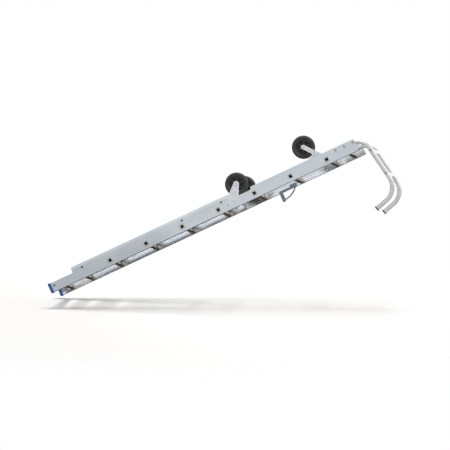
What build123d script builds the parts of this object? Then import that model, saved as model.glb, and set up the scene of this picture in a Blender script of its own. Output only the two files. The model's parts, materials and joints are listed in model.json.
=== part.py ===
from build123d import *
import os
from math import atan2, cos, degrees, radians, sin, tan

# Two-section roof ladder: an upper section with wheels and a ridge hook, and a lower section
# that slides in guide channels on the upper section's stiles.
# Millimetres. While modelling, X runs from the foot to the ridge with 0 at the first swaged rung,
# Y runs across the ladder (near side negative) and Z is up through the climbing side, 0 on the rung line.
# Every piece is moved at export so that the origin is at the middle of the bottom of the whole ladder.

# Upper section: rungs and tie tubes
rung_pitch = 250.0
rung_count = 7
rung_side = 25.0
rung_wall = 3.0
rung_corner = 5.0
rung_bore_corner = 1.0
collar_lip = 4.0
collar_thick = 1.8
foot_tie_inset = 60.0
lower_tie_inset = 199.0
ridge_tie_inset = 78.0

# Upper section: channel stiles, low at the foot, deep along the guide, shallower towards the ridge
upper_width = 400.0
stile_wall = 3.0
stile_width = 28.0
stile_below = 32.0
foot_rise = 27.0
guide_rise = 62.0
ridge_rise = 47.0
stile_lip = 14.0
stile_corner = 2.0
foot_reach = 402.0
foot_length = 156.0
ridge_reach = 205.0
step_round = 10.0

# Foot plugs
plug_cap = 20.0
plug_insert = 34.0
plug_overhang = 2.0
plug_fillet = 5.0
plug_fit = 0.2
plug_rivet_inset = 17.0
plug_rivet_z = 4.0
tread_ribs = 5
tread_depth = 2.0

# Lower section
lower_box_width = 25.0
lower_box_depth = 48.0
lower_wall = 2.0
lower_rung_count = 4
lower_bottom_reach = 246.0
lower_top_reach = 84.0
runner_gap = 2.0
rung_clear = 0.8
flange_clear = 1.0
lower_plug_cap = 4.0
lower_plug_insert = 22.0

# Guide pads riveted inside the channel
pad_start_inset = 68.0
pad_middle_x = 515.0
pad_end_inset = 64.0
pad_length = 60.0
pad_depth = 14.0
pad_thick = 6.0
pad_rise = 36.0
pad_clear = 0.5

# Fasteners
rivet_radius = 4.4
rivet_head_radius = 7.0
rivet_head = 2.4
rivet_crown = 1.4
rivet_bore = 3.2
bolt_radius = 5.0
bolt_head_radius = 9.0
bolt_head = 5.0
nut_radius = 8.0
bolt_clear = 0.05

# Middle wheels, one in each channel just before the fifth rung
mid_wheel_rung = 4
mid_wheel_back = 80.0
mid_wheel_z = 100.0
wheel_radius = 73.0
tyre_height = 25.0
wheel_width = 34.0
tyre_round = 9.0
rim_wall = 5.0
web_thick = 5.0
boss_radius = 16.0
rib_count = 6
rib_width = 9.0
rib_thick = 14.0
axle_clear = 0.1
wheel_gap = 2.0
boss_clear = 0.5
notch_margin = 8.0
notch_floor = 29.0

# Middle wheel brackets, measured back from the wheel
bracket_thick = 4.0
bracket_top_radius = 18.0
bracket_base_back = 114.0
bracket_base_front = 34.0
bracket_base_low = -8.0
bracket_base_high = 16.0
bracket_rivet_backs = (100.0, 52.0)
bracket_rivet_z = 4.0

# Front wheel and its fork on the last rung, measured back from the rung
front_wheel_back = 119.0
front_wheel_z = 153.0
fork_plate = 4.0
fork_arm_width = 28.0
fork_foot_back = 6.0
fork_gusset_back = 163.0
fork_gusset_low = 57.0
fork_gusset_high = 86.0
fork_base_length = 64.0
fork_base_front = 16.0
fork_bolt_spread = 9.4
fork_side_gap = 2.0

# Ridge hook, measured from the stile's ridge end
hook_tube_radius = 15.0
hook_tube_wall = 2.5
hook_seat_gap = 0.3
hook_shank_length = 165.0
hook_corner_reach = 55.0
hook_upper_bend = 92.0
hook_lower_bend = 110.0
hook_lean = 9.5
hook_leg_length = 397.0
hook_toe_angle = 74.0
hook_toe_length = 170.0
hook_bolt_insets = (133.0, 73.0, 13.0)
hook_plug_cap = 8.0
hook_plug_insert = 25.0
hook_plug_lip = 2.0
crossbar_radius = 11.0
crossbar_wall = 2.5
crossbar_upper_inset = 16.0
crossbar_lower_inset = 34.0

# Tie loop on the far stile's lip, just before the sixth rung
loop_rung_gap = 20.0
loop_length = 124.0
loop_plate = 4.0
loop_leg = 22.0
loop_drop = 58.0
loop_round = 6.0
loop_rod_radius = 4.5
loop_tab_length = 48.0
loop_tab_rise = 26.0
loop_rivet_inset = 16.0

# Stile places
web_out = upper_width / 2
web_in = web_out - stile_wall
flange_in = web_out - stile_width
stile_low = -stile_below
lip_high = stile_low + stile_lip
upper_start = -foot_reach
guide_start = upper_start + foot_length
last_rung_x = rung_pitch * (rung_count - 1)
upper_end = last_rung_x + ridge_reach
guide_under = guide_rise - stile_wall
tie_spots = (upper_start + foot_tie_inset, upper_start + lower_tie_inset, upper_end - ridge_tie_inset)
plug_rivet_x = upper_start + plug_rivet_inset

# Wheel places
mid_wheel_x = rung_pitch * mid_wheel_rung - mid_wheel_back
mid_wheel_y = web_in - wheel_gap - wheel_width / 2
notch_half = (wheel_radius ** 2 - (mid_wheel_z - guide_rise) ** 2) ** 0.5 + notch_margin
notch_start = mid_wheel_x - notch_half
notch_end = mid_wheel_x + notch_half
pad_spots = (guide_start + pad_start_inset, pad_middle_x, notch_start - pad_end_inset)
bracket_rivet_spots = tuple(mid_wheel_x - back for back in bracket_rivet_backs)
front_wheel_x = last_rung_x - front_wheel_back
rim_radius = wheel_radius - tyre_height
bore_radius = bolt_radius + axle_clear

# Lower section places
lower_out = flange_in - flange_clear
lower_in = lower_out - lower_box_width
lower_low = rung_side / 2 + rung_clear
lower_high = lower_low + lower_box_depth
lower_rung_z = (lower_low + lower_high) / 2
lower_start = -lower_bottom_reach
lower_end = rung_pitch * (lower_rung_count - 1) + lower_top_reach
runner_out = web_in - pad_thick - pad_clear
runner_low = foot_rise + plug_overhang + runner_gap
runner_high = guide_under - runner_gap

# Hook places: the shank's corner, the knee and the toe's end, on the tube's centre line
hook_y = web_in - hook_seat_gap - hook_tube_radius
hook_shank_start = upper_end - hook_shank_length
hook_shank_z = ridge_rise - stile_wall - hook_seat_gap - hook_tube_radius
hook_corner_x = upper_end + hook_corner_reach
leg_out = sin(radians(hook_lean))
leg_down = cos(radians(hook_lean))
toe_back = sin(radians(hook_toe_angle))
toe_down = cos(radians(hook_toe_angle))
hook_knee_x = hook_corner_x + hook_leg_length * leg_out
hook_knee_z = hook_shank_z - hook_leg_length * leg_down
hook_end_x = hook_knee_x - hook_toe_length * toe_back
hook_end_z = hook_knee_z - hook_toe_length * toe_down
upper_tangent = hook_upper_bend * tan(radians(90 - hook_lean) / 2)
lower_tangent = hook_lower_bend * tan(radians(hook_lean + hook_toe_angle) / 2)
crossbar_spots = (upper_tangent + crossbar_upper_inset, hook_leg_length - lower_tangent - crossbar_lower_inset)
hook_bolt_spots = tuple(upper_end - inset for inset in hook_bolt_insets)

# Tie loop places
loop_end_x = last_rung_x - rung_pitch - loop_rung_gap
loop_start_x = loop_end_x - loop_length
loop_inner = flange_in - loop_plate
loop_rivet_z = (stile_low + lip_high) / 2
loop_rivet_spots = (loop_start_x + loop_leg + loop_rivet_inset, loop_end_x - loop_tab_length - loop_rivet_inset)

# Frame: middle of the bottom of the whole ladder
low_x = upper_start - plug_cap
lower_bend_x = hook_knee_x - lower_tangent * leg_out - hook_lower_bend * leg_down
high_x = lower_bend_x + hook_lower_bend + hook_tube_radius
toe_drop = (hook_plug_cap - hook_plug_lip) * toe_down + hook_tube_radius * toe_back + hook_plug_lip
low_z = hook_end_z - toe_drop
to_frame = Pos(-(low_x + high_x) / 2, 0, -low_z)

nodes = {}


def block(x0, x1, y0, y1, z0, z1):
    """A box given by its limits."""
    centre = Pos((x0 + x1) / 2, (y0 + y1) / 2, (z0 + z1) / 2)
    return centre * Box(abs(x1 - x0), abs(y1 - y0), abs(z1 - z0))


def rod(radius, x, z, y0, y1):
    """A round bar along Y."""
    return Pos(x, (y0 + y1) / 2, z) * Rot(90, 0, 0) * Cylinder(radius, abs(y1 - y0))


def far(shape):
    """The far-side twin of a near-side piece."""
    return mirror(shape, about=Plane.XZ)


def pair(name, near_shape):
    """Store a near-side piece and its far-side twin."""
    nodes[name + "_near"] = near_shape
    nodes[name + "_far"] = far(near_shape)


def both(shapes):
    """A group of near-side solids with their far-side twins."""
    return Compound(children=[*shapes, *[far(shape) for shape in shapes]])


def square_bar(side, corner, x, z, y0, y1):
    """A rounded square bar along Y."""
    profile = Plane((x, y0, z), x_dir=(1, 0, 0), z_dir=(0, 1, 0)) * RectangleRounded(side, side, corner)
    return extrude(profile, amount=y1 - y0)


def rung_bore(x, z, reach):
    """The bore of a rung or tie tube."""
    return square_bar(rung_side - 2 * rung_wall, rung_bore_corner, x, z, -reach, reach)


def rivet(x, z, y_face, y_end):
    """A domed rivet whose head sits on a near-side face, its shank reaching inwards to y_end."""
    head = rod(rivet_head_radius, x, z, y_face - rivet_head, y_face)
    crown = head.edges().group_by(Axis.Y)[0]
    return fillet(crown, rivet_crown) + rod(rivet_radius, x, z, y_face, y_end)


def tubular_rivet(x, z, y_face, y_end):
    """A rivet with a bore right through it."""
    return rivet(x, z, y_face, y_end) - rod(rivet_bore, x, z, y_face - rivet_head, y_end)


def channel(rise, x0, x1):
    """A length of near-side channel, open towards the middle, with a lip on its lower flange."""
    depth = rise - stile_low
    outer = Pos(-web_out + stile_width / 2, (rise + stile_low) / 2) * Rectangle(stile_width, depth)
    outer = fillet(outer.vertices().group_by(Axis.X)[0], stile_corner)
    hollow = Pos((-web_in - flange_in) / 2, (rise + stile_low) / 2)
    hollow = hollow * Rectangle(web_in - flange_in, depth - 2 * stile_wall)
    lip = Pos(-flange_in - stile_wall / 2, (stile_low + lip_high) / 2) * Rectangle(stile_wall, stile_lip)
    return extrude(Plane.YZ.offset(x0) * (outer - hollow + lip), amount=x1 - x0)


def step_corner():
    """The rounded inner corner where the web steps up from the foot to the guide."""
    x = guide_start - step_round
    z = foot_rise + step_round
    corner = block(x, guide_start, -web_out, -web_in, foot_rise, z)
    return corner - rod(step_round, x, z, -web_out, -web_in)


def upper_stile():
    """Channel stile of the upper section with its cut-out for the wheel and its holes."""
    stile = channel(foot_rise, upper_start, guide_start) + step_corner()
    stile += channel(guide_rise, guide_start, notch_end)
    stile += channel(ridge_rise, notch_end, upper_end)
    notch = block(notch_start, notch_end, -web_out, -flange_in, notch_floor, guide_rise)
    notch = fillet(notch.edges().filter_by(Axis.Y).group_by(Axis.Z)[0], step_round)
    stile -= notch
    for number in range(rung_count):
        x = rung_pitch * number
        stile -= square_bar(rung_side + 2 * bolt_clear, rung_corner, x, 0, -web_out, -web_in)
    rivet_spots = [(x, bracket_rivet_z) for x in bracket_rivet_spots]
    rivet_spots += [(x, pad_rise) for x in pad_spots]
    for x, z in [*rivet_spots, (plug_rivet_x, plug_rivet_z)]:
        stile -= rod(rivet_radius + bolt_clear, x, z, -web_out, -web_in)
    for x in hook_bolt_spots:
        stile -= rod(bolt_radius + bolt_clear, x, hook_shank_z, -web_out, -web_in)
    return stile


def loop_stile():
    """The far stile, drilled through its lip for the tie loop's rivets."""
    stile = far(upper_stile())
    for x in loop_rivet_spots:
        stile -= rod(rivet_radius + bolt_clear, x, loop_rivet_z, flange_in, flange_in + stile_wall)
    return stile


def swaged_rung(x):
    """Hollow square rung whose flared ends grip both webs."""
    reach = web_out + collar_thick
    tube = square_bar(rung_side, rung_corner, x, 0, -reach, reach)
    collar_side = rung_side + 2 * collar_lip
    for y in (-reach, web_out, -web_in, web_in - collar_thick):
        tube += square_bar(collar_side, rung_corner, x, 0, y, y + collar_thick)
    return tube - rung_bore(x, 0, reach)


def fork_rung():
    """The last swaged rung, drilled through its upper wall for the fork's bolts."""
    rung = swaged_rung(last_rung_x)
    wall_middle = (rung_side - rung_wall) / 2
    for y in (-fork_bolt_spread, fork_bolt_spread):
        rung -= Pos(last_rung_x, y, wall_middle) * Cylinder(bolt_radius + bolt_clear, rung_wall)
    return rung


def plain_tie(x):
    """Hollow square tie tube that butts against both webs."""
    return square_bar(rung_side, rung_corner, x, 0, -web_in, web_in) - rung_bore(x, 0, web_in)


def foot_plug():
    """Foot plug: a ribbed cap outside the stile end and an insert inside the channel."""
    cap = block(upper_start - plug_cap, upper_start, -web_out - plug_overhang, -flange_in,
                stile_low - plug_overhang, foot_rise + plug_overhang)
    cap = fillet(cap.edges().filter_by(Axis.Y) + cap.edges().filter_by(Axis.Z), plug_fillet)
    width = stile_width + plug_overhang
    depth = foot_rise + stile_below + 2 * plug_overhang
    step = (depth - 2 * plug_fillet) / tread_ribs
    for number in range(1, tread_ribs):
        z = stile_low - plug_overhang + plug_fillet + step * number
        groove = Pos(upper_start - plug_cap, -flange_in - width / 2, z)
        cap -= groove * Box(2 * tread_depth, width, tread_depth)
    inset = stile_wall + plug_fit
    insert = block(upper_start, upper_start + plug_insert, -web_in + plug_fit, -flange_in - inset,
                   stile_low + inset, foot_rise - inset)
    hole = rod(rivet_radius + bolt_clear, plug_rivet_x, plug_rivet_z, -web_in, -flange_in)
    return cap + insert - hole


def plug_rivet():
    """Rivet through the web into a foot plug."""
    return tubular_rivet(plug_rivet_x, plug_rivet_z, -web_out, -flange_in - stile_wall - plug_fit)


def guide_pad(x):
    """Slide pad on the inside of the web."""
    pad = block(x - pad_length / 2, x + pad_length / 2, -web_in, -web_in + pad_thick,
                pad_rise - pad_depth / 2, pad_rise + pad_depth / 2)
    ends = pad.edges().filter_by(Axis.Z).group_by(Axis.Y)[-1]
    pad = chamfer(ends, pad_thick / 2)
    return pad - rod(rivet_radius + bolt_clear, x, pad_rise, -web_in, -web_in + pad_thick)


def pad_rivet(x):
    """Rivet that holds a slide pad, flush with the pad's running face."""
    return tubular_rivet(x, pad_rise, -web_out, -web_in + pad_thick)


def lower_stile():
    """Box stile of the lower section with the runner that slides under the guide flange."""
    box_spot = Pos(-(lower_out + lower_in) / 2, lower_rung_z)
    box_skin = box_spot * RectangleRounded(lower_box_width, lower_box_depth, lower_wall)
    box_void = box_spot * Rectangle(lower_box_width - 2 * lower_wall, lower_box_depth - 2 * lower_wall)
    runner_z = (runner_low + runner_high) / 2
    runner_reach = runner_out - lower_out
    runner_depth = runner_high - runner_low
    runner_spot = Pos(-(runner_out + lower_out) / 2, runner_z)
    runner_skin = runner_spot * Rectangle(runner_reach, runner_depth)
    runner_skin += Pos(-lower_out + lower_wall / 2, runner_z) * Rectangle(lower_wall, runner_depth)
    runner_void = runner_spot * Rectangle(runner_reach - 2 * lower_wall, runner_depth - 2 * lower_wall)
    profile = box_skin + runner_skin - box_void - runner_void
    stile = extrude(Plane.YZ.offset(lower_start) * profile, amount=lower_end - lower_start)
    for number in range(lower_rung_count):
        x = rung_pitch * number
        stile -= square_bar(rung_side + 2 * bolt_clear, rung_corner, x, lower_rung_z,
                            -lower_in - lower_wall, -lower_in)
    return stile


def lower_rung(x):
    """Hollow rung of the lower section, let into the inner walls and seated on the outer ones."""
    reach = lower_out - lower_wall
    tube = square_bar(rung_side, rung_corner, x, lower_rung_z, -reach, reach)
    collar_side = rung_side + 2 * collar_lip
    for y in (-lower_in, lower_in - collar_thick):
        tube += square_bar(collar_side, rung_corner, x, lower_rung_z, y, y + collar_thick)
    return tube - rung_bore(x, lower_rung_z, reach)


def lower_plug(x_face, outwards):
    """End plug of a lower stile; outwards is -1 at the foot end and 1 at the ridge end."""
    cap = block(x_face, x_face + outwards * lower_plug_cap, -lower_out, -lower_in, lower_low, lower_high)
    cap = fillet(cap.edges().filter_by(Axis.X), lower_wall)
    inset = lower_wall + plug_fit
    insert = block(x_face - outwards * lower_plug_insert, x_face, -lower_out + inset, -lower_in - inset,
                   lower_low + inset, lower_high - inset)
    return cap + insert


def bracket():
    """Tapered plate that carries a middle wheel outside the web."""
    top = Vector(mid_wheel_x, mid_wheel_z)
    base_left = mid_wheel_x - bracket_base_back
    base_right = mid_wheel_x - bracket_base_front
    base_middle = Vector((base_left + base_right) / 2, bracket_base_low)
    lean = (top - base_middle).normalized()
    side = Vector(lean.Y, -lean.X) * bracket_top_radius
    outline = Polygon((base_left, bracket_base_low), (base_right, bracket_base_low), top + side, top - side,
                      (base_left, bracket_base_high), align=None)
    outline += Pos(top.X, top.Y) * Circle(bracket_top_radius)
    face = Plane((0, -web_out, 0), x_dir=(1, 0, 0), z_dir=(0, -1, 0)) * outline
    plate = extrude(face, amount=bracket_thick)
    base_corners = plate.edges().filter_by(Axis.Y).group_by(Axis.Z)[0]
    plate = fillet(base_corners, bracket_thick)
    plate -= rod(bolt_radius + bolt_clear, top.X, top.Y, -web_out - bracket_thick, -web_out)
    for x in bracket_rivet_spots:
        plate -= rod(rivet_radius + bolt_clear, x, bracket_rivet_z, -web_out - bracket_thick, -web_out)
    return plate


def bracket_rivet(x):
    """Rivet through the bracket's base and the web."""
    tail = rod(rivet_head_radius, x, bracket_rivet_z, -web_in, -web_in + rivet_head)
    return rivet(x, bracket_rivet_z, -web_out - bracket_thick, -web_in) + tail


def hex_head(x, z, y0, y1):
    """Hexagon bolt head or nut along Y."""
    profile = Plane((x, y0, z), x_dir=(1, 0, 0), z_dir=(0, 1, 0)) * RegularPolygon(bolt_head_radius, 6)
    return extrude(profile, amount=y1 - y0)


def mid_axle():
    """Axle bolt, spacer and nut of a middle wheel, held by the bracket."""
    face = -web_out - bracket_thick
    spacer_end = -mid_wheel_y - wheel_width / 2 - boss_clear
    nut_start = -mid_wheel_y + wheel_width / 2 + boss_clear
    nut_end = nut_start + bolt_head
    bolt = rod(bolt_radius, mid_wheel_x, mid_wheel_z, face, nut_end)
    spacer = rod(bolt_head_radius, mid_wheel_x, mid_wheel_z, -web_out, spacer_end)
    head = hex_head(mid_wheel_x, mid_wheel_z, face - bolt_head, face)
    nut = hex_head(mid_wheel_x, mid_wheel_z, nut_start, nut_end)
    return bolt + spacer + head + nut


def tyre(x, y, z):
    """Solid rubber tyre."""
    section = Pos(wheel_radius - tyre_height / 2, 0) * RectangleRounded(tyre_height, wheel_width, tyre_round)
    ring = revolve(Plane.XZ * section, Axis.Z)
    ring -= Cylinder(rim_radius, wheel_width)
    return Pos(x, y, z) * Rot(90, 0, 0) * ring


def wheel_centre(x, y, z):
    """Moulded wheel centre: rim, web, ribs and boss."""
    rim_width = wheel_width - 2 * tyre_round
    rim = Cylinder(rim_radius, rim_width) - Cylinder(rim_radius - rim_wall, rim_width)
    rib_reach = rim_radius - rim_wall / 2
    web = Cylinder(rib_reach, web_thick)
    boss = Cylinder(boss_radius, wheel_width)
    rib = Pos(rib_reach / 2, 0) * Box(rib_reach, rib_width, rib_thick)
    ribs = [Rot(0, 0, 360 / rib_count * number) * rib for number in range(rib_count)]
    centre = rim + web + boss + ribs - Cylinder(bore_radius, wheel_width)
    return Pos(x, y, z) * Rot(90, 0, 0) * centre


def fork_arm():
    """One arm of the fork: a round-ended bar with a gusset, on the far side of the wheel."""
    inner = wheel_width / 2 + fork_side_gap
    outer = inner + fork_plate
    base_low = rung_side / 2
    base_end = last_rung_x + fork_base_front
    gusset_x = last_rung_x - fork_gusset_back
    hub = Vector(front_wheel_x, front_wheel_z)
    foot = Vector(last_rung_x - fork_foot_back, base_low)
    lean = (foot - hub).normalized()
    middle = (hub + foot) / 2
    turn = degrees(atan2(lean.Y, lean.X))
    bar = Pos(middle.X, middle.Y) * Rot(0, 0, turn) * SlotCenterToCenter((foot - hub).length, fork_arm_width)
    gusset_end = hub + lean * ((fork_gusset_high - hub.Y) / lean.Y)
    gusset = Polygon((gusset_x, fork_gusset_low), gusset_end, foot,
                     (base_end - fork_base_length + fork_plate, base_low), align=None)
    face = Plane((0, inner, 0), x_dir=(1, 0, 0), z_dir=(0, -1, 0))
    arm = extrude(face * bar, amount=-fork_plate) + extrude(face * gusset, amount=-fork_plate)
    arm -= block(gusset_x, base_end, inner, outer, base_low - fork_arm_width, base_low)
    return arm - rod(bolt_radius + bolt_clear, front_wheel_x, front_wheel_z, inner, outer)


def front_fork():
    """Fork of the front wheel: two arms on a base plate over the last rung."""
    outer = wheel_width / 2 + fork_side_gap + fork_plate
    base_low = rung_side / 2
    base_end = last_rung_x + fork_base_front
    base = block(base_end - fork_base_length, base_end, -outer, outer, base_low, base_low + fork_plate)
    fork = base + fork_arm() + far(fork_arm())
    for y in (-fork_bolt_spread, fork_bolt_spread):
        fork -= Pos(last_rung_x, y, base_low + fork_plate / 2) * Cylinder(bolt_radius + bolt_clear, fork_plate)
    return fork


def fork_bolt(y):
    """Bolt and nut through the fork base and the last rung's upper wall."""
    base_high = rung_side / 2 + fork_plate
    wall_low = rung_side / 2 - rung_wall
    head = Pos(last_rung_x, y, base_high) * extrude(RegularPolygon(bolt_head_radius, 6), amount=bolt_head)
    shank_length = base_high - wall_low + bolt_head
    shank = Pos(last_rung_x, y, base_high - shank_length / 2) * Cylinder(bolt_radius, shank_length)
    nut = Pos(last_rung_x, y, wall_low - bolt_head / 2) * Cylinder(nut_radius, bolt_head)
    return head + shank + nut


def front_axle():
    """Axle bolt of the front wheel through both fork arms."""
    outer = wheel_width / 2 + fork_side_gap + fork_plate
    bolt = rod(bolt_radius, front_wheel_x, front_wheel_z, -outer, outer)
    head = hex_head(front_wheel_x, front_wheel_z, -outer - bolt_head, -outer)
    nut = hex_head(front_wheel_x, front_wheel_z, outer, outer + bolt_head)
    return bolt + head + nut


def leg_place(distance):
    """The X and Z of a point on the hook's leg, its distance measured down from the shank's corner."""
    return hook_corner_x + distance * leg_out, hook_shank_z - distance * leg_down


def hook_tube():
    """Bent tube of the ridge hook: shank, upper bend, leaning leg, lower bend and toe."""
    path = FilletPolyline((hook_shank_start, -hook_y, hook_shank_z), (hook_corner_x, -hook_y, hook_shank_z),
                          (hook_knee_x, -hook_y, hook_knee_z), (hook_end_x, -hook_y, hook_end_z),
                          radius=[hook_upper_bend, hook_lower_bend])
    section = Circle(hook_tube_radius) - Circle(hook_tube_radius - hook_tube_wall)
    start = Plane((hook_shank_start, -hook_y, hook_shank_z), x_dir=(0, 1, 0), z_dir=(1, 0, 0))
    tube = sweep(start * section, path=path)
    for x in hook_bolt_spots:
        tube -= rod(bolt_radius + bolt_clear, x, hook_shank_z, -web_in, -hook_y)
    for distance in crossbar_spots:
        tube -= rod(bolt_radius + bolt_clear, *leg_place(distance), -hook_y - hook_tube_radius, 0)
    return tube


def hook_bolt(x):
    """Bolt through the web into the hook's shank."""
    inner = -hook_y - hook_tube_radius + hook_tube_wall + bolt_head / 2
    head = hex_head(x, hook_shank_z, -web_out - bolt_head, -web_out)
    return head + rod(bolt_radius, x, hook_shank_z, -web_out, inner)


def hook_plug():
    """Round end plug of the hook's toe."""
    seat = (Align.CENTER, Align.CENTER, Align.MIN)
    cap = Cylinder(hook_tube_radius + hook_plug_lip, hook_plug_cap, align=seat)
    cap = fillet(cap.edges().group_by(Axis.Z)[-1], hook_plug_lip)
    insert_radius = hook_tube_radius - hook_tube_wall - plug_fit
    insert = Pos(0, 0, -hook_plug_insert / 2) * Cylinder(insert_radius, hook_plug_insert)
    return Pos(hook_end_x, -hook_y, hook_end_z) * Rot(0, hook_toe_angle - 180, 0) * (cap + insert)


def crossbar(distance):
    """Tube between the hook's legs, its ends coped to fit them."""
    x, z = leg_place(distance)
    bar = rod(crossbar_radius, x, z, -hook_y, hook_y)
    bar -= rod(crossbar_radius - crossbar_wall, x, z, -hook_y, hook_y)
    leg = Cylinder(hook_tube_radius + bolt_clear, 4 * crossbar_radius)
    leg = Pos(x, -hook_y, z) * Rot(0, -hook_lean, 0) * leg
    return bar - leg - far(leg)


def crossbar_bolt(distance):
    """Bolt through a leg, with the plug that it pulls into the end of a cross bar."""
    x, z = leg_place(distance)
    outer = -hook_y - hook_tube_radius
    plug_start = -hook_y + hook_tube_radius + bolt_clear
    plug_end = plug_start + bolt_head_radius
    plug = rod(crossbar_radius - crossbar_wall - bolt_clear, x, z, plug_start, plug_end)
    return hex_head(x, z, outer - bolt_head, outer) + rod(bolt_radius, x, z, outer, plug_end) + plug


def tie_loop():
    """D-shaped loop beside the far stile's lip: a plate with a leg and a tab, and a bent rod."""
    strip = block(loop_start_x, loop_end_x, loop_inner, flange_in, stile_low, lip_high)
    leg_low = stile_low - loop_drop
    leg = block(loop_start_x, loop_start_x + loop_leg, loop_inner, flange_in, leg_low, stile_low)
    leg = fillet(leg.edges().filter_by(Axis.Y).group_by(Axis.Z)[0], loop_round)
    tab_high = stile_low + loop_tab_rise
    tab = block(loop_end_x - loop_tab_length, loop_end_x, loop_inner, flange_in, lip_high, tab_high)
    tab = fillet(tab.edges().filter_by(Axis.Y).group_by(Axis.Z)[-1], loop_round)
    y = flange_in - loop_rod_radius
    start = (loop_start_x + loop_leg / 2, y, leg_low + loop_leg / 2)
    end = (loop_end_x - loop_leg / 2, y, stile_low + loop_rod_radius)
    path = TangentArc(start, end, tangent=(1, 0, 0))
    bent = sweep(Plane(start, z_dir=path % 0) * Circle(loop_rod_radius), path=path)
    loop = strip + leg + tab + bent
    for x in loop_rivet_spots:
        loop -= rod(rivet_radius + bolt_clear, x, loop_rivet_z, loop_inner, flange_in)
    return loop


def loop_rivet(x):
    """Rivet through the loop's plate, flush with the far side of the lip."""
    return rivet(x, loop_rivet_z, loop_inner, flange_in + stile_wall)


nodes["upper_stile_near"] = upper_stile()
nodes["upper_stile_far"] = loop_stile()
for number in range(rung_count - 1):
    nodes[f"upper_rung_{number + 1}"] = swaged_rung(rung_pitch * number)
nodes[f"upper_rung_{rung_count}"] = fork_rung()
for name, x in zip(("foot_tie", "lower_tie", "ridge_tie"), tie_spots):
    nodes[name] = plain_tie(x)
pair("foot_plug", foot_plug())
nodes["plug_rivets"] = both([plug_rivet()])
nodes["guide_pads"] = both([guide_pad(x) for x in pad_spots])
nodes["pad_rivets"] = both([pad_rivet(x) for x in pad_spots])

pair("lower_stile", lower_stile())
for number in range(lower_rung_count):
    nodes[f"lower_rung_{number + 1}"] = lower_rung(rung_pitch * number)
pair("lower_foot_plug", lower_plug(lower_start, -1))
pair("lower_top_plug", lower_plug(lower_end, 1))

pair("mid_bracket", bracket())
nodes["bracket_rivets"] = both([bracket_rivet(x) for x in bracket_rivet_spots])
pair("mid_axle", mid_axle())
pair("mid_tyre", tyre(mid_wheel_x, -mid_wheel_y, mid_wheel_z))
pair("mid_wheel_centre", wheel_centre(mid_wheel_x, -mid_wheel_y, mid_wheel_z))

nodes["front_fork"] = front_fork()
nodes["fork_bolts"] = Compound(children=[fork_bolt(-fork_bolt_spread), fork_bolt(fork_bolt_spread)])
nodes["front_axle"] = front_axle()
nodes["front_tyre"] = tyre(front_wheel_x, 0, front_wheel_z)
nodes["front_wheel_centre"] = wheel_centre(front_wheel_x, 0, front_wheel_z)

pair("hook_tube", hook_tube())
pair("hook_plug", hook_plug())
nodes["hook_bolts"] = both([hook_bolt(x) for x in hook_bolt_spots])
for name, distance in zip(("hook_crossbar_upper", "hook_crossbar_lower"), crossbar_spots):
    nodes[name] = crossbar(distance)
nodes["crossbar_bolts"] = both([crossbar_bolt(distance) for distance in crossbar_spots])

nodes["tie_loop"] = tie_loop()
nodes["loop_rivets"] = Compound(children=[loop_rivet(x) for x in loop_rivet_spots])

os.makedirs("parts", exist_ok=True)
for name, shape in nodes.items():
    export_step(to_frame * shape, f"parts/{name}.step")
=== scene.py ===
"""Studio scene of a two-section roof ladder: finishes, modelled tyres, camera, floor and lights."""

import json
import logging
import math
from dataclasses import dataclass, field
from enum import Enum
from typing import Any, Union

import bmesh
import bpy
from mathutils import Matrix, Vector


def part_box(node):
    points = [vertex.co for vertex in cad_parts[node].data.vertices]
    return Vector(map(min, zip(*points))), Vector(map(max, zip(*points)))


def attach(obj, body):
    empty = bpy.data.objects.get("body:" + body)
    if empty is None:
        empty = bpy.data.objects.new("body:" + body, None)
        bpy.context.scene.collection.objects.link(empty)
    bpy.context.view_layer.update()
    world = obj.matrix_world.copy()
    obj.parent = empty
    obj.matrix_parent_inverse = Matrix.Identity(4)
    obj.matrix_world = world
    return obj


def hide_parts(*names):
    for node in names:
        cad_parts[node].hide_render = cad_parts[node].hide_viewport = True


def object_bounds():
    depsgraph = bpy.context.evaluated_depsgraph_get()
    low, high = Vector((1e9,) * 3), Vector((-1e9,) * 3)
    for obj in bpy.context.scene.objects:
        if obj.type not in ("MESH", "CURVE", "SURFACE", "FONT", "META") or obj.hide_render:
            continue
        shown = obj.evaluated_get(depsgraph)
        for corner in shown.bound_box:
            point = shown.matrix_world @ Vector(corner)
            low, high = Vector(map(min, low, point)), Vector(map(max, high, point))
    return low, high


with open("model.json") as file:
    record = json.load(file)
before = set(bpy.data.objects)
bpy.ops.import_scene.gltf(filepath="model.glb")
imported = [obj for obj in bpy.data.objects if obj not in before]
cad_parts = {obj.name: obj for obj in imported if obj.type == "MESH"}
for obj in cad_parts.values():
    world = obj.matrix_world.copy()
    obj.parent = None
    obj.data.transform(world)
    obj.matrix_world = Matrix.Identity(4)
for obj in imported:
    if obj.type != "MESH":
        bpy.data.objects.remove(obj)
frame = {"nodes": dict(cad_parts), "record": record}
CAD_BOX = [list(corner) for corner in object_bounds()]
LOG = logging.getLogger("roof_ladder")

Triple = tuple[float, float, float]
Colour = Triple
Span = tuple[float, float]
Number = Union["Value", float]

BLACK: Colour = (0.0, 0.0, 0.0)
WHITE: Colour = (1.0, 1.0, 1.0)
ORIGIN: Triple = (0.0, 0.0, 0.0)
AXLE: Triple = (0.0, 1.0, 0.0)
MERGE_WITHIN = 1e-6

# Colour sockets of the Mix node, by number, because its sockets for numbers and vectors have the same names.
MIX_SHARE, MIX_FIRST, MIX_SECOND, MIX_RESULT = 0, 6, 7, 2
# The Wave texture multiplies its scaled coordinate by this to get an angle.
WAVE_UNIT = 20.0
# How far a face has to look down to take the painted shade of undersides.
DOWNWARD: Span = (0.55, 0.9)
# How far towards the middle line a stile's face has to look, times its distance from that line in metres, to
# take painted light.
INWARD: Span = (0.05, 0.12)


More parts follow.
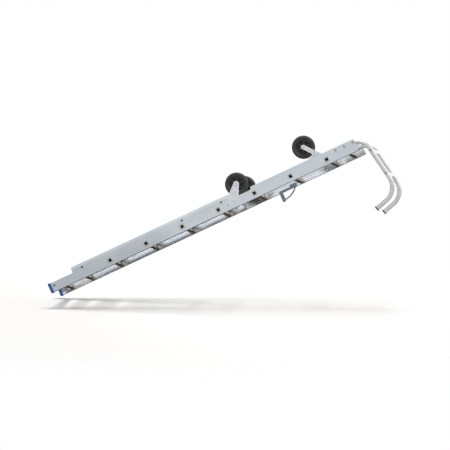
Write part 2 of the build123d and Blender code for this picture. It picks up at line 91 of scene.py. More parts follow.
@dataclass(frozen=True)
class Pattern:
    """A noise on a surface.

    Attributes:
        scale: Waves per metre along each axis.
        detail: Layers of finer noise.
        layer_strength: Strength of the finer layers.
    """

    scale: Triple
    detail: float = 4.0
    layer_strength: float = 0.55


class Grain(Enum):
    """Direction in which a metal surface was drawn or brushed, as the pattern of its streaks."""

    ALONG_LADDER = Pattern((2.0, 420.0, 420.0), 3.0, 0.6)
    ACROSS_LADDER = Pattern((420.0, 3.0, 420.0), 3.0, 0.6)
    NONE = Pattern((60.0, 60.0, 60.0), 3.0, 0.6)


class Value:
    """A number on a node's output, which takes part in shader maths."""

    def __init__(self, graph: "Graph", socket: bpy.types.NodeSocket) -> None:
        """Wrap an output socket of a graph."""
        self.graph = graph
        self.socket = socket

    def _math(self, operation: str, left: Number, right: Number) -> "Value":
        """Add one Math node.

        Args:
            operation: The Math node's operation.
            left: First operand.
            right: Second operand.

        Returns:
            The node's result.
        """
        node = self.graph.node("ShaderNodeMath", {"operation": operation}, {0: left, 1: right})
        return Value(self.graph, node.outputs[0])

    def __add__(self, other: Number) -> "Value":
        """Sum."""
        return self._math("ADD", self, other)

    def __radd__(self, other: Number) -> "Value":
        """Sum with a number on the left."""
        return self._math("ADD", other, self)

    def __sub__(self, other: Number) -> "Value":
        """Difference."""
        return self._math("SUBTRACT", self, other)

    def __rsub__(self, other: Number) -> "Value":
        """Difference from a number on the left."""
        return self._math("SUBTRACT", other, self)

    def __mul__(self, other: Number) -> "Value":
        """Product."""
        return self._math("MULTIPLY", self, other)

    def __rmul__(self, other: Number) -> "Value":
        """Product with a number on the left."""
        return self._math("MULTIPLY", other, self)

    def above(self, low: float, high: float) -> "Value":
        """Rise smoothly from 0 at low to 1 at high.

        Args:
            low: Value that gives 0.
            high: Value that gives 1.

        Returns:
            A number from 0 to 1.
        """
        settings = {"interpolation_type": "SMOOTHSTEP"}
        sockets = {"Value": self, "From Min": low, "From Max": high}
        node = self.graph.node("ShaderNodeMapRange", settings, sockets)
        return Value(self.graph, node.outputs[0])


class Graph:
    """A node tree and the calls that add its nodes."""

    def __init__(self, tree: bpy.types.NodeTree) -> None:
        """Start an empty tree."""
        self.tree = tree
        self.tree.nodes.clear()

    def node(self, kind: str, settings: dict[str, Any] | None = None,
             sockets: dict[Any, Any] | None = None) -> bpy.types.Node:
        """Add a node, set its settings and then its sockets.

        Args:
            kind: The node's type.
            settings: Attributes of the node.
            sockets: Values or links by socket name or number.

        Returns:
            The new node.
        """
        made = self.tree.nodes.new(kind)
        for key, setting in (settings or {}).items():
            setattr(made, key, setting)
        for key, content in (sockets or {}).items():
            self.feed(made.inputs[key], content)
        return made

    def feed(self, socket: bpy.types.NodeSocket, content: Any) -> None:
        """Link a socket or set its number or colour.

        Args:
            socket: The input to feed.
            content: A Value, an output socket, a number, a colour or a vector.
        """
        if isinstance(content, Value):
            self.tree.links.new(content.socket, socket)
        elif isinstance(content, bpy.types.NodeSocket):
            self.tree.links.new(content, socket)
        elif socket.type == "RGBA":
            socket.default_value = (*content, 1.0)
        else:
            socket.default_value = content

    def mix(self, share: Number, first: Any, second: Any) -> bpy.types.NodeSocket:
        """Mix two colours.

        Args:
            share: Share of the second colour.
            first: Colour or socket.
            second: Colour or socket.

        Returns:
            The mixed colour.
        """
        sockets = {MIX_SHARE: share, MIX_FIRST: first, MIX_SECOND: second}
        return self.node("ShaderNodeMix", {"data_type": "RGBA"}, sockets).outputs[MIX_RESULT]

    def part_of(self, vector: bpy.types.NodeSocket, axis: str) -> Value:
        """One component, X, Y or Z, of a vector or colour."""
        return Value(self, self.node("ShaderNodeSeparateXYZ", {}, {0: vector}).outputs[axis])

    def seen(self) -> Value:
        """Tell what is seen from what only gives light.

        Returns:
            1 for what the eye sees straight, in a gloss or through glass, and 0 for soft light.
        """
        path = self.node("ShaderNodeLightPath").outputs
        straight, gloss, glass = (
            Value(self, path[name]) for name in ("Is Camera Ray", "Is Glossy Ray", "Is Transmission Ray"))
        return (straight + gloss + glass).above(0.0, 1.0)


class Surface(Graph):
    """A material's node tree with its Principled shader."""

    def __init__(self, name: str) -> None:
        """Make an empty material.

        Args:
            name: The material's name.
        """
        self.material = bpy.data.materials.new(name)
        self.material.use_nodes = True
        super().__init__(self.material.node_tree)
        self.shader = self.node("ShaderNodeBsdfPrincipled")
        self.output = self.node("ShaderNodeOutputMaterial", {}, {"Surface": self.shader.outputs[0]})
        self.place = self.node("ShaderNodeTexCoord").outputs["Object"]

    def noise(self, pattern: Pattern) -> Value:
        """Add noise on stretched Object coordinates.

        Args:
            pattern: The noise's scale and layers.

        Returns:
            The noise as a number from 0 to 1.
        """
        stretched = self.node("ShaderNodeMapping", {}, {"Vector": self.place, "Scale": pattern.scale})
        sockets = {"Vector": stretched.outputs[0], "Scale": 1.0, "Detail": pattern.detail,
                   "Roughness": pattern.layer_strength}
        return Value(self, self.node("ShaderNodeTexNoise", {}, sockets).outputs[0])

    def cells(self, scale: float) -> bpy.types.NodeSocket:
        """Random colour of each cell of a cell pattern with that many cells to the metre."""
        sockets = {"Vector": self.place, "Scale": scale, "Randomness": 1.0}
        return self.node("ShaderNodeTexVoronoi", {}, sockets).outputs["Color"]

    def underside(self) -> Value:
        """1 on faces that look down from the ladder, where shade is painted, and 0 elsewhere."""
        normal = self.node("ShaderNodeNewGeometry").outputs["Normal"]
        return (-1.0 * self.part_of(normal, "Z")).above(*DOWNWARD)

    def inward(self) -> Value:
        """Find the inner faces of the stiles.

        Returns:
            1 on faces that look towards the ladder's middle line, where light is painted, and 0 elsewhere.
        """
        normal = self.node("ShaderNodeNewGeometry").outputs["Normal"]
        outwards = self.part_of(normal, "Y") * self.part_of(self.place, "Y")
        return (-1.0 * outwards).above(*INWARD)

    def relief(self, height: Value, depth: float) -> None:
        """Feed the shader's normal with a bump.

        Args:
            height: Height from 0 to 1.
            depth: Real depth in metres of a height of 1.
        """
        bump = self.node("ShaderNodeBump", {}, {"Height": height, "Distance": depth, "Strength": 1.0})
        self.feed(self.shader.inputs["Normal"], bump.outputs[0])

    def dress(self, **sockets: Any) -> bpy.types.Material:
        """Feed the shader's sockets.

        Args:
            **sockets: Values or links by socket name, with underscores for spaces.

        Returns:
            The finished material.
        """
        for key, content in sockets.items():
            self.feed(self.shader.inputs[key.replace("_", " ")], content)
        return self.material


@dataclass(frozen=True)
class DrawnAluminium:
    """Aluminium with the fine die lines of a drawn or extruded section.

    Attributes:
        painted_shade: Colour of the shade painted on undersides, or None for a section without it.
        ribs_per_metre: Grip ribs along a rung, or 0 for a smooth section.
        ledge: Height of the painted shadow line along a stile's web, with painted light on the band above it,
            or None for a plain one.
        inside: Colour of the painted light on the faces inside the ladder, which are also made more metallic,
            or None where they are like the rest.
    """

    name: str
    tint: Colour
    shade: Colour
    grain: Grain
    metallic: float = 0.6
    roughness: float = 0.38
    gloss: float = 0.3
    bright: Colour = (0.84, 0.85, 0.86)
    dull: Colour = (0.40, 0.41, 0.42)
    line_depth: float = 0.00006
    line_span: Span = (0.38, 0.66)
    line_share: float = 0.35
    line_rough: float = 0.10
    clouds: Pattern = Pattern((3.0, 9.0, 9.0), 3.0)
    cloud_span: Span = (0.35, 0.68)
    smudges: Pattern = Pattern((14.0, 26.0, 26.0), 5.0, 0.65)
    smudge_span: Span = (0.52, 0.72)
    smudge_share: float = 0.18
    smudge_rough: float = 0.12
    scratches: Pattern = Pattern((9.0, 260.0, 260.0), 2.0, 0.4)
    scratch_span: Span = (0.70, 0.76)
    scratch_share: float = 0.35
    scratch_smooth: float = 0.08
    painted_shade: Colour | None = None
    painted_shade_share: float = 0.0
    painted_shade_broken: float = 0.25
    painted_shade_rough: float = 0.3
    ribs_per_metre: float = 0.0
    rib_depth: float = 0.0006
    rib_lines: float = 0.1
    ledge: float | None = None
    ledge_line: float = 0.0015
    ledge_painted_light: float = 0.22
    ledge_painted_shadow: float = 0.5
    inside: Colour | None = None
    inside_share: float = 0.9
    inside_metallic: float = 0.98

    def material(self) -> bpy.types.Material:
        """Build the finish.

        Returns:
            The material.
        """
        surface = Surface(self.name)
        streaks = surface.noise(self.grain.value)
        clouds = surface.noise(self.clouds).above(*self.cloud_span)
        smudges = surface.noise(self.smudges).above(*self.smudge_span)
        scratches = surface.noise(self.scratches).above(*self.scratch_span)
        base = surface.mix(clouds, self.tint, self.shade)
        lined = surface.mix(streaks.above(*self.line_span) * self.line_share, base, self.shade)
        worn = surface.mix(scratches * self.scratch_share, lined, self.bright)
        colour = surface.mix(smudges * self.smudge_share, worn, self.dull)
        # Painted shadow line and painted light along the stile's web.
        if self.ledge:
            colour = self._ledge(surface, colour)
        metallic: Number = self.metallic
        # Painted light: faces inside the ladder are painted lighter and made more mirror-like, as the light
        # they catch.
        if self.inside:
            inner = surface.inward()
            colour = surface.mix(inner * self.inside_share, colour, self.inside)
            metallic = self.metallic + (self.inside_metallic - self.metallic) * inner
        rough = self.roughness + self.smudge_rough * smudges + self.line_rough * streaks
        rough = rough - self.scratch_smooth * scratches
        # Painted shade: faces that look down are painted darker and browner, and made duller and less
        # metallic, as the shade beneath the ladder.
        if self.painted_shade:
            painted_shade = surface.underside() * (self.painted_shade_share - self.painted_shade_broken * smudges)
            colour = surface.mix(painted_shade, colour, self.painted_shade)
            metallic = metallic * (1.0 - painted_shade)
            rough = rough + self.painted_shade_rough * painted_shade
        height, depth = streaks, self.line_depth
        if self.ribs_per_metre:
            height, depth = self._ribs(surface) + self.rib_lines * streaks, self.rib_depth
        surface.relief(height, depth)
        return surface.dress(Base_Color=colour, Metallic=metallic, Roughness=rough,
                             Specular_IOR_Level=self.gloss)

    def _ledge(self, surface: Surface, colour: bpy.types.NodeSocket) -> bpy.types.NodeSocket:
        """Paint a shadow line at the foot of the extrusion's upper band, and paint light on the band above
        it.

        Args:
            surface: The finish's node tree.
            colour: Colour so far.

        Returns:
            The colour with the band.
        """
        height = surface.part_of(surface.place, "Z")
        line_top = self.ledge + self.ledge_line
        band = height.above(self.ledge, line_top)
        line = band * (1.0 - height.above(line_top, line_top + self.ledge_line))
        # The band above the ledge is painted lighter as lit, and a painted shadow line runs along its foot.
        lighter = surface.mix(band * self.ledge_painted_light, colour, self.bright)
        return surface.mix(line * self.ledge_painted_shadow, lighter, self.dull)

    def _ribs(self, surface: Surface) -> Value:
        """Add the fine grip ribs that run along a rung.

        Args:
            surface: The finish's node tree.

        Returns:
            Their height from 0 to 1.
        """
        settings = {"wave_type": "BANDS", "bands_direction": "X", "wave_profile": "TRI"}
        sockets = {"Vector": surface.place, "Scale": self.ribs_per_metre * math.tau / WAVE_UNIT}
        return Value(surface, surface.node("ShaderNodeTexWave", settings, sockets).outputs["Fac"])


@dataclass(frozen=True)
class GalvanisedSteel:
    """Hot-dip galvanised plate with its spangle."""

    name: str
    tint: Colour
    shade: Colour
    chalk: Colour = (0.86, 0.87, 0.88)
    metallic: float = 0.5
    roughness: float = 0.36
    spangles_per_metre: float = 110.0
    spangle_height: float = 0.4
    spangle_rough: float = 0.20
    bloom: Pattern = Pattern((22.0, 22.0, 22.0), 5.0)
    bloom_span: Span = (0.50, 0.75)
    bloom_share: float = 0.5
    bloom_rough: float = 0.15
    grit: Pattern = Pattern((700.0, 700.0, 700.0), 2.0)
    grit_depth: float = 0.00008

    def material(self) -> bpy.types.Material:
        """Build the finish.

        Returns:
            The material.
        """
        surface = Surface(self.name)
        spangle = surface.part_of(surface.cells(self.spangles_per_metre), "X")
        bloom = surface.noise(self.bloom)
        grit = surface.noise(self.grit)
        base = surface.mix(spangle, self.tint, self.shade)
        chalky = surface.mix(bloom.above(*self.bloom_span) * self.bloom_share, base, self.chalk)
        surface.relief(grit + self.spangle_height * spangle, self.grit_depth)
        rough = self.roughness + self.spangle_rough * spangle + self.bloom_rough * bloom
        return surface.dress(Base_Color=chalky, Metallic=self.metallic, Roughness=rough)


@dataclass(frozen=True)
class PlatedSteel:
    """Zinc-plated fasteners with a little tarnish."""

    name: str
    tint: Colour
    tarnish: Colour
    metallic: float = 0.8
    roughness: float = 0.28
    stain: Pattern = Pattern((90.0, 90.0, 90.0))
    stain_span: Span = (0.45, 0.72)
    stain_share: float = 0.7
    stain_rough: float = 0.25
    turning: Pattern = Pattern((900.0, 900.0, 900.0), 2.0)
    turning_depth: float = 0.00005

    def material(self) -> bpy.types.Material:
        """Build the finish.

        Returns:
            The material.
        """
        surface = Surface(self.name)
        stain = surface.noise(self.stain).above(*self.stain_span)
        colour = surface.mix(stain * self.stain_share, self.tint, self.tarnish)
        surface.relief(surface.noise(self.turning), self.turning_depth)
        rough = self.roughness + self.stain_rough * stain
        return surface.dress(Base_Color=colour, Metallic=self.metallic, Roughness=rough)


@dataclass(frozen=True)
class MouldedPlastic:
    """Injection-moulded plastic with a fine spark-eroded grain and scuffs.

    Attributes:
        hidden: Colour of a plug's insert, past hidden_past along the ladder, or None for one colour.
        proud: Colour of the painted highlight on a wheel's ribs, proud_past or more from its middle plane, or
            None for one colour.
        middle: Place of that middle plane across the ladder.
    """

    name: str
    tint: Colour
    scuff: Colour
    roughness: float = 0.48
    gloss: float = 0.35
    grain: Pattern = Pattern((1500.0, 1500.0, 1500.0), 2.0)
    grain_depth: float = 0.00006
    tone: Pattern = Pattern((35.0, 35.0, 35.0))
    tone_span: Span = (0.35, 0.75)
    tone_share: float = 0.4
    tone_dark: float = 0.72
    tone_rough: float = 0.08
    marks: Pattern = Pattern((60.0, 240.0, 120.0), 3.0)
    marks_span: Span = (0.60, 0.74)
    marks_share: float = 0.35
    marks_rough: float = 0.15
    hidden: Colour | None = None
    hidden_past: float = 0.0
    hidden_edge: float = 0.001
    proud: Colour | None = None
    proud_past: float = 0.006
    proud_span: Span = (0.9, 1.2)
    middle: float = 0.0

    def material(self) -> bpy.types.Material:
        """Build the finish.

        Returns:
            The material.
        """
        surface = Surface(self.name)
        tone = surface.noise(self.tone)
        marks = surface.noise(self.marks).above(*self.marks_span)
        darker = [self.tone_dark * part for part in self.tint]
        base = surface.mix(tone.above(*self.tone_span) * self.tone_share, self.tint, darker)
        colour = surface.mix(marks * self.marks_share, base, self.scuff)
        if self.hidden:
            along = surface.part_of(surface.place, "X")
            insert = along.above(self.hidden_past, self.hidden_past + self.hidden_edge)
            colour = surface.mix(insert, colour, self.hidden)
        # Painted highlight: the wheel's ribs, far from its middle plane, are painted lighter as the light
        # they catch.
        if self.proud:
            out = (surface.part_of(surface.place, "Y") - self.middle) * (1.0 / self.proud_past)
            colour = surface.mix((out * out).above(*self.proud_span), colour, self.proud)
        surface.relief(surface.noise(self.grain), self.grain_depth)
        rough = self.roughness + self.marks_rough * marks + self.tone_rough * tone
        return surface.dress(Base_Color=colour, Roughness=rough, Specular_IOR_Level=self.gloss)


@dataclass(frozen=True)
class SolidRubber:
    """Black rubber with a dusty bloom."""

    name: str
    tint: Colour
    dust: Colour
    roughness: float = 0.62
    gloss: float = 0.25
    dusting: Pattern = Pattern((40.0, 40.0, 40.0), 5.0, 0.6)
    dust_span: Span = (0.45, 0.78)
    dust_share: float = 0.55
    dust_rough: float = 0.22
    pores: Pattern = Pattern((1200.0, 1200.0, 1200.0), 3.0)
    pore_depth: float = 0.00010

    def material(self) -> bpy.types.Material:
        """Build the finish.

        Returns:
            The material.
        """
        surface = Surface(self.name)
        dusting = surface.noise(self.dusting).above(*self.dust_span)
        colour = surface.mix(dusting * self.dust_share, self.tint, self.dust)
        surface.relief(surface.noise(self.pores), self.pore_depth)
        rough = self.roughness + self.dust_rough * dusting
        return surface.dress(Base_Color=colour, Roughness=rough, Specular_IOR_Level=self.gloss)


# Where the blue cap of a foot plug ends and its grey insert begins.
PLUG_CAP = 0.0205
INSERT_FROM = CAD_BOX[0][0] + PLUG_CAP
# Height of the painted shadow line along the stiles' webs, with painted light above it.
STILE_BAND = 0.470
# Distance of the middle wheels from the ladder's middle line.
MID_WHEEL_OUT = 0.178
WHEEL_MIDDLES = {
    "wheel_plastic": 0.0,
    "near_wheel_plastic": -MID_WHEEL_OUT,
    "far_wheel_plastic": MID_WHEEL_OUT,
}

FINISHES: dict[str, Any] = {
    finish.name: finish for finish in (
        # The stile and rung finishes carry painted shade on their undersides.
        DrawnAluminium("stile_aluminium", (0.50, 0.55, 0.59), (0.45, 0.495, 0.53), Grain.ALONG_LADDER,
                       metallic=0.82, roughness=0.06, gloss=0.0, line_depth=0.000004,
                       # The stiles take a painted shadow line with painted light above it, and painted light
                       # on their inner faces.
                       painted_shade=(0.17, 0.145, 0.12), painted_shade_share=0.85, ledge=STILE_BAND, inside=(0.64, 0.66, 0.68)),
        DrawnAluminium("rung_aluminium", (0.66, 0.64, 0.60), (0.56, 0.54, 0.50), Grain.ACROSS_LADDER,
                       metallic=0.30, gloss=0.0, painted_shade=(0.22, 0.165, 0.11), painted_shade_share=0.96,
                       ribs_per_metre=320.0),
        DrawnAluminium("hook_aluminium", (0.635, 0.635, 0.62), (0.55, 0.555, 0.545), Grain.NONE,
                       roughness=0.30, line_depth=0.00002),
        GalvanisedSteel("galvanised_plate", (0.74, 0.78, 0.82), (0.62, 0.66, 0.70)),
        GalvanisedSteel("weathered_plate", (0.22, 0.265, 0.29), (0.15, 0.18, 0.20), (0.28, 0.31, 0.33)),
        PlatedSteel("zinc_steel", (0.60, 0.51, 0.45), (0.40, 0.32, 0.27)),
        PlatedSteel("pale_rivet", (0.46, 0.47, 0.47), (0.33, 0.33, 0.32)),
        PlatedSteel("grey_rivet", (0.30, 0.30, 0.29), (0.20, 0.19, 0.17)),
        # Near-black rivets: painted shade standing for the dark bores of tubular rivets.
        PlatedSteel("painted_shade_rivet", (0.07, 0.06, 0.05), (0.04, 0.035, 0.03)),
        MouldedPlastic("blue_plug", (0.045, 0.175, 0.50), (0.18, 0.34, 0.60),
                       hidden=(0.46, 0.47, 0.45), hidden_past=INSERT_FROM),
        MouldedPlastic("dark_plug", (0.022, 0.023, 0.025), (0.10, 0.10, 0.10)),
        MouldedPlastic("nylon", (0.80, 0.79, 0.74), (0.55, 0.54, 0.50)),
        SolidRubber("tyre_rubber", (0.062, 0.059, 0.053), (0.14, 0.135, 0.125)),
        # Wheel centres: near-black plastic with painted highlights on their ribs.
        *(MouldedPlastic(name, (0.008, 0.009, 0.010), (0.10, 0.11, 0.115), roughness=0.34, gloss=0.20,
                         proud=(0.050, 0.054, 0.056), middle=middle)
          for name, middle in WHEEL_MIDDLES.items()),
    )
}
OWN_FINISH = {
    # The pad and plug rivets take painted shade for their dark bores.
    "pad_rivets": "painted_shade_rivet",
    "plug_rivets": "painted_shade_rivet",
    "bracket_rivets": "pale_rivet",
    "crossbar_bolts": "grey_rivet",
    "hook_bolts": "grey_rivet",
    "loop_rivets": "weathered_plate",
    "tie_loop": "weathered_plate",
    "mid_wheel_centre_near": "near_wheel_plastic",
    "mid_wheel_centre_far": "far_wheel_plastic",
}


@dataclass
class Dressing:
    """Gives every solid of the ladder the finish of its material slot, or its own."""

    materials: dict[str, bpy.types.Material] = field(default_factory=dict)

    def finish(self, name: str) -> bpy.types.Material:
        """Get a finish's material, built once.

        Args:
            name: The finish's name.

        Returns:
            The material.
        """
        if name not in self.materials:
            self.materials[name] = FINISHES[name].material()
        return self.materials[name]

    def dress(self) -> dict[str, str]:
        """Put the finishes on the ladder's own solids.

        Returns:
            The name of each solid's finish.
        """
        dressed = {}
        for subpart in frame["record"]["subparts"]:
            node = subpart["node"]
            dressed[node] = OWN_FINISH.get(node, subpart["material_slot"])
            slots = frame["nodes"][node].data.materials
            slots.clear()
            slots.append(self.finish(dressed[node]))
        return dressed


@dataclass
class Tyre:
    """A solid tyre with shoulder blocks, tread grooves and a stepped sidewall, in place of its plain ring."""

    node: str
    centre_node: str
    body: str
    steps: int = 72
    bead_in: float = 0.009
    lip_rise: float = 0.0035
    step_from: float = 0.006
    step_to: float = 0.0085
    step_depth: float = 0.0020
    wall_from: float = 0.0092
    shoulder: float = 0.0075
    shoulder_drop: float = 0.0028
    shoulder_in: float = 0.0030
    crown_drop: float = 0.0006
    groove_place: float = 0.36
    groove_half: float = 0.0016
    groove_floor: float = 0.6
    groove_depth: float = 0.0022
    block_from: float = 0.50
    block_reach: float = 0.0060
    block_depth: float = 0.0024
    block_edge: float = 0.0006
    block_every: int = 3

    def __post_init__(self) -> None:
        """Take the tyre's centre and sizes from its ring and the wheel centre inside it."""
        low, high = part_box(self.node)
        rim_low, rim_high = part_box(self.centre_node)
        self.centre = (low + high) / 2
        self.radius = (high.z - low.z) / 2
        self.half_width = (high.y - low.y) / 2
        self.inner = (rim_high.z - rim_low.z) / 2

    def section(self) -> list[tuple[float, float]]:
        """Outline of the tyre as radius and distance from its middle, from bead to bead.

        Returns:
            The outline's points.
        """
        crown, half = self.radius, self.half_width
        groove_at = half * self.groove_place
        floor_half = self.groove_half * self.groove_floor
        side = [
            (self.inner, half - self.bead_in),
            (self.inner + self.lip_rise, half - self.lip_rise),
            (self.inner + self.step_from, half - self.step_depth),
            (self.inner + self.step_to, half - self.step_depth),
            (self.inner + self.wall_from, half),
            (crown - self.shoulder, half),
            (crown - self.shoulder_drop, half - self.shoulder_in),
            (crown - self.crown_drop, half - self.shoulder),
            (crown, groove_at + 2 * self.groove_half),
            (crown, groove_at + self.groove_half),
            (crown - self.groove_depth, groove_at + floor_half),
            (crown - self.groove_depth, groove_at - floor_half),
            (crown, groove_at - self.groove_half),
        ]
        return side + [(radius, -offset) for radius, offset in reversed(side)]

    def build(self, material: bpy.types.Material) -> bpy.types.Object:
        """Model the tyre and let it ride on its wheel.

        Args:
            material: The rubber.

        Returns:
            The tyre.
        """
        shape = bmesh.new()
        outline = [shape.verts.new((radius, offset, 0.0)) for radius, offset in self.section()]
        edges = [shape.edges.new(pair) for pair in zip(outline, outline[1:] + outline[:1])]
        bmesh.ops.spin(shape, geom=outline + edges, cent=ORIGIN, axis=AXLE, dvec=ORIGIN,
                       angle=math.tau, steps=self.steps, use_merge=True, use_duplicate=False)
        bmesh.ops.remove_doubles(shape, verts=shape.verts[:], dist=MERGE_WITHIN)
        bmesh.ops.recalc_face_normals(shape, faces=shape.faces[:])
        self._cut_shoulders(shape)
        bmesh.ops.translate(shape, verts=shape.verts[:], vec=self.centre)
        mesh = bpy.data.meshes.new(f"{self.node}_tread")
        shape.to_mesh(mesh)
        shape.free()
        mesh.materials.append(material)
        tyre = bpy.data.objects.new(f"{self.node}_tread", mesh)
        bpy.context.scene.collection.objects.link(tyre)
        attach(tyre, self.body)
        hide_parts(self.node)
        return tyre

    def _cut_shoulders(self, shape: bmesh.types.BMesh) -> None:
        """Sink some of the shoulder faces to leave tread blocks.

        Args:
            shape: The tyre about the origin, with its axis along Y.
        """
        turn = math.tau / self.steps
        band = []
        for face in shape.faces:
            middle = face.calc_center_median()
            outside = abs(middle.y) > self.half_width * self.block_from
            near_crown = math.hypot(middle.x, middle.z) > self.radius - self.block_reach
            sector = int(math.atan2(middle.z, middle.x) % math.tau / turn)
            if outside and near_crown and sector % self.block_every == 0:
                band.append(face)
        bmesh.ops.inset_region(shape, faces=band, thickness=self.block_edge, depth=0.0, use_even_offset=True)
        for vertex in {vertex for face in band for vertex in face.verts}:
            outward = Vector((vertex.co.x, 0.0, vertex.co.z)).normalized()
            vertex.co -= outward * self.block_depth


TYRES: tuple[Tyre, ...] = (
    Tyre("mid_tyre_near", "mid_wheel_centre_near", "mid_wheel_near"),
    Tyre("mid_tyre_far", "mid_wheel_centre_far", "mid_wheel_far"),
    Tyre("front_tyre", "front_wheel_centre", "front_wheel"),
)


@dataclass(frozen=True)
class Lamp:
    """One large soft lamp, placed in the picture's own directions: right, up and towards the eye.

    Attributes:
        over: Point of the ladder that it looks at.
        in_gloss: Whether a glossy surface mirrors it.
    """

    name: str
    over: Triple
    direction: Triple
    distance: float
    power: float
    size: float
    colour: Colour = WHITE
    in_gloss: bool = True

    def build(self, axes: Matrix) -> None:
        """Hang the lamp so that it looks at its point of the ladder.

        Args:
            axes: The photograph's axes.
        """
        light = bpy.data.lights.new(self.name, "AREA")
        light.energy = self.power
        light.size = self.size
        light.color = self.colour
        lamp = bpy.data.objects.new(self.name, light)
        lamp.visible_glossy = self.in_gloss
        offset = (axes @ Vector(self.direction)).normalized()
        turn = offset.to_track_quat("Z", "Y").to_matrix().to_4x4()
        lamp.matrix_world = Matrix.Translation(Vector(self.over) + offset * self.distance) @ turn
        bpy.context.scene.collection.objects.link(lamp)


LAMPS: tuple[Lamp, ...] = (
    Lamp("top", over=(-0.5, 0.0, 0.0), direction=(0.10, 1.0, 0.02), distance=10.0, power=1090.0, size=5.0,
         colour=(1.0, 0.99, 0.97)),
    Lamp("side", over=(0.0, 0.0, 0.43), direction=(0.9, 0.46, 0.10), distance=9.0, power=230.0, size=5.0,
         colour=(1.0, 0.97, 0.92)),
    Lamp("ridge", over=(1.15, -0.2, 0.4), direction=(-0.27, 0.107, 0.957), distance=3.0, power=6.0, size=3.0),
    Lamp("front", over=(-0.2, -0.2, 0.4), direction=(0.05, -0.22, 1.0), distance=5.0, power=70.0, size=2.5,
         colour=(0.97, 0.985, 1.0), in_gloss=False),
    Lamp("back", over=(0.0, -0.2, 0.4), direction=(0.1, 0.1, -1.0), distance=5.0, power=105.0, size=5.0),
)


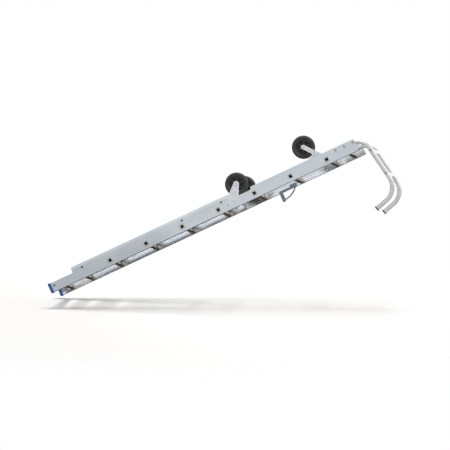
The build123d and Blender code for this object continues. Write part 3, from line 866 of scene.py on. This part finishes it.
@dataclass
class Studio:
    """Camera at the photograph's angle, pale floor and soft light."""

    view_towards: Vector = field(default_factory=lambda: Vector((-0.10375, 1.0, 0.10977)).normalized())
    aim: Vector = field(default_factory=lambda: Vector((0.04792, -0.2, 0.32357)))
    tilt: float = math.radians(24.948)
    distance: float = 60.0
    seen_width: float = 2.8093
    sensor: float = 36.0
    sky: Colour = (0.20, 0.205, 0.215)
    ground: Colour = (0.07, 0.06, 0.05)
    sky_span: Span = (-0.35, 0.45)
    floor_drop: float = 0.545
    floor_half: float = 3.0
    floor_fade: Span = (1.2, 2.6)
    floor_lean: float = math.radians(9.0)
    floor_rough: float = 0.9
    floor_pale: Colour = (0.70, 0.70, 0.70)
    floor_soft: Colour = (0.16, 0.14, 0.12)
    floor_lift: Colour = (0.02, 0.02, 0.02)

    def build(self) -> None:
        """Make the camera, the world, the lamps and the floor."""
        axes = self.axes()
        self._camera(axes)
        self._world(axes)
        for lamp in LAMPS:
            lamp.build(axes)
        self._floor(axes)

    def axes(self) -> Matrix:
        """The photograph's own axes.

        Returns:
            A turn whose columns are right, up and back in the picture.
        """
        back = -self.view_towards
        along = Vector((1, 0, 0))
        along = (along - back * along.dot(back)).normalized()
        square = back.cross(along)
        right = along * math.cos(self.tilt) - square * math.sin(self.tilt)
        up = along * math.sin(self.tilt) + square * math.cos(self.tilt)
        return Matrix((right, up, back)).transposed()

    def _camera(self, axes: Matrix) -> None:
        """Set the camera.

        Args:
            axes: The photograph's axes.
        """
        lens = bpy.data.cameras.new("camera")
        lens.sensor_width = self.sensor
        lens.lens = self.sensor * self.distance / self.seen_width
        camera = bpy.data.objects.new("camera", lens)
        place = self.aim - self.view_towards * self.distance
        camera.matrix_world = Matrix.Translation(place) @ axes.to_4x4()
        bpy.context.scene.collection.objects.link(camera)
        bpy.context.scene.camera = camera

    def _world(self, axes: Matrix) -> None:
        """White behind the ladder and in its gloss, and dim soft light that comes mostly from above.

        Args:
            axes: The photograph's axes.
        """
        world = bpy.data.worlds.new("studio")
        bpy.context.scene.world = world
        world.use_nodes = True
        world.cycles.sampling_method = "NONE"
        graph = Graph(world.node_tree)
        _, up, _ = axes.col
        direction = graph.node("ShaderNodeTexCoord").outputs["Generated"]
        height = graph.node("ShaderNodeVectorMath", {"operation": "DOT_PRODUCT"}, {0: direction, 1: up})
        rise = Value(graph, height.outputs["Value"]).above(*self.sky_span)
        soft = graph.mix(rise, self.ground, self.sky)
        colour = graph.mix(graph.seen(), soft, WHITE)
        background = graph.node("ShaderNodeBackground", {}, {"Color": colour, "Strength": 1.0})
        graph.node("ShaderNodeOutputWorld", {}, {"Surface": background.outputs[0]})

    def _floor(self, axes: Matrix) -> None:
        """A pale floor, level in the picture, which fades out round the ladder's shadow.

        Args:
            axes: The photograph's axes.
        """
        shape = bmesh.new()
        bmesh.ops.create_grid(shape, x_segments=1, y_segments=1, size=self.floor_half)
        mesh = bpy.data.meshes.new("floor")
        shape.to_mesh(mesh)
        shape.free()
        floor = bpy.data.objects.new("floor", mesh)
        right, up, back = axes.col
        normal = (up * math.cos(self.floor_lean) + back * math.sin(self.floor_lean)).normalized()
        turn = Matrix((right, normal.cross(right), normal)).transposed().to_4x4()
        floor.matrix_world = Matrix.Translation(self.aim - up * self.floor_drop) @ turn
        bpy.context.scene.collection.objects.link(floor)
        mesh.materials.append(self._floor_finish())

    def _floor_finish(self) -> bpy.types.Material:
        """White where it is seen, darker for the light that it throws back, clear at its edge and from below.

        Returns:
            The material.
        """
        surface = Surface("floor")
        away = surface.node("ShaderNodeVectorMath", {"operation": "LENGTH"}, {0: surface.place})
        fade = Value(surface, away.outputs["Value"]).above(*self.floor_fade)
        below = Value(surface, surface.node("ShaderNodeNewGeometry").outputs["Backfacing"])
        hidden = 1.0 - (1.0 - fade) * (1.0 - below)
        seen = surface.seen()
        surface.dress(Base_Color=surface.mix(seen, self.floor_soft, self.floor_pale),
                      Roughness=self.floor_rough,
                      Emission_Color=surface.mix(seen, BLACK, self.floor_lift), Emission_Strength=1.0)
        clear = surface.node("ShaderNodeBsdfTransparent")
        sockets = {0: hidden, 1: surface.shader.outputs[0], 2: clear.outputs[0]}
        blend = surface.node("ShaderNodeMixShader", {}, sockets)
        surface.feed(surface.output.inputs["Surface"], blend.outputs[0])
        return surface.material


def main() -> None:
    """Dress the ladder, model its tyres and set the studio."""
    logging.basicConfig(level=logging.INFO, format="%(name)s: %(message)s")
    bpy.context.scene.view_settings.view_transform = "Standard"
    dressing = Dressing()
    for node, finish in dressing.dress().items():
        LOG.info("%s in %s", node, finish)
    for tyre in TYRES:
        piece = tyre.build(dressing.finish("tyre_rubber"))
        LOG.info("%s rides on %s, radius %.3f m", piece.name, tyre.body, tyre.radius)
    Studio().build()


if __name__ == "__main__":
    main()
